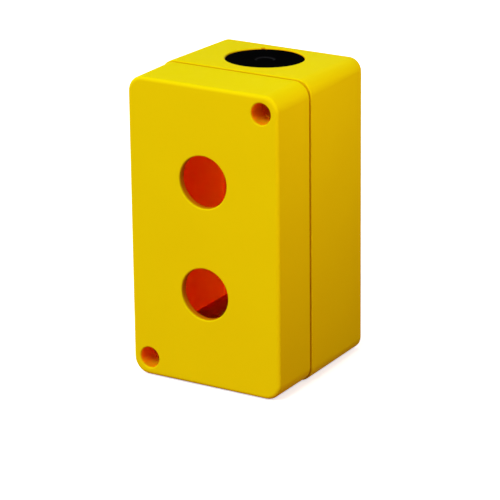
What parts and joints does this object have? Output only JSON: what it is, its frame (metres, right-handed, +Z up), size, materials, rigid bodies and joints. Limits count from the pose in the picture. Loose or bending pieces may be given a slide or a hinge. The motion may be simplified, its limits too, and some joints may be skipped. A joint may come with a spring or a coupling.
{
  "type": "pushbutton box",
  "caption": "Upright moulded plastic box for panel-mounted pushbuttons, with a screwed front cover and a rubber cable grommet on top.",
  "frame": {"origin": "middle of the face that the upright box rests on, in line with the middle of its depth", "axes": "+Z up along the box's height, -Y out of the front cover, +X to the right as seen from the front"},
  "size_m": [0.052, 0.0516, 0.0945],
  "materials": {
    "yellow_plastic": "fine moulded texture, satin",
    "gasket_rubber": "matte cellular rubber cord",
    "grommet_rubber": "matte moulded rubber",
    "screw_steel": "zinc plated",
    "seal_rubber": "matte",
    "insert_brass": "turned and knurled"
  },
  "bodies": {
    "rear_box": {"rear_box": "yellow_plastic", "cover_gasket": "gasket_rubber", "cable_grommet": "grommet_rubber", "upper_threaded_insert": "insert_brass", "lower_threaded_insert": "insert_brass"},
    "front_cover": {"front_cover": "yellow_plastic"},
    "upper_screw_seal": {"upper_screw_seal": "seal_rubber"},
    "lower_screw_seal": {"lower_screw_seal": "seal_rubber"},
    "upper_cover_screw": {"upper_cover_screw": "screw_steel"},
    "lower_cover_screw": {"lower_cover_screw": "screw_steel"}
  },
  "joints": [
    {"name": "cover_lift", "type": "slide", "parent": "rear_box", "child": "front_cover", "axis": [0, -1, 0], "range_m": [0, 0.06]},
    {"name": "upper_screw_travel", "type": "slide", "parent": "front_cover", "child": "upper_screw_seal", "axis": [0, -1, 0], "range_m": [0, 0.008]},
    {"name": "upper_screw_turn", "type": "hinge", "parent": "upper_screw_seal", "child": "upper_cover_screw", "pos_m": [0.02, -0.012, 0.08855], "axis": [0, -1, 0], "range_deg": [0, 5760]},
    {"name": "lower_screw_travel", "type": "slide", "parent": "front_cover", "child": "lower_screw_seal", "axis": [0, -1, 0], "range_m": [0, 0.008]},
    {"name": "lower_screw_turn", "type": "hinge", "parent": "lower_screw_seal", "child": "lower_cover_screw", "pos_m": [-0.02, -0.012, 0.00595], "axis": [0, -1, 0], "range_deg": [0, 5760]}
  ],
  "couplings": [
    {"joint": "upper_screw_turn", "follows": "upper_screw_travel", "rad_per_m": 12566},
    {"joint": "lower_screw_turn", "follows": "lower_screw_travel", "rad_per_m": 12566}
  ]
}
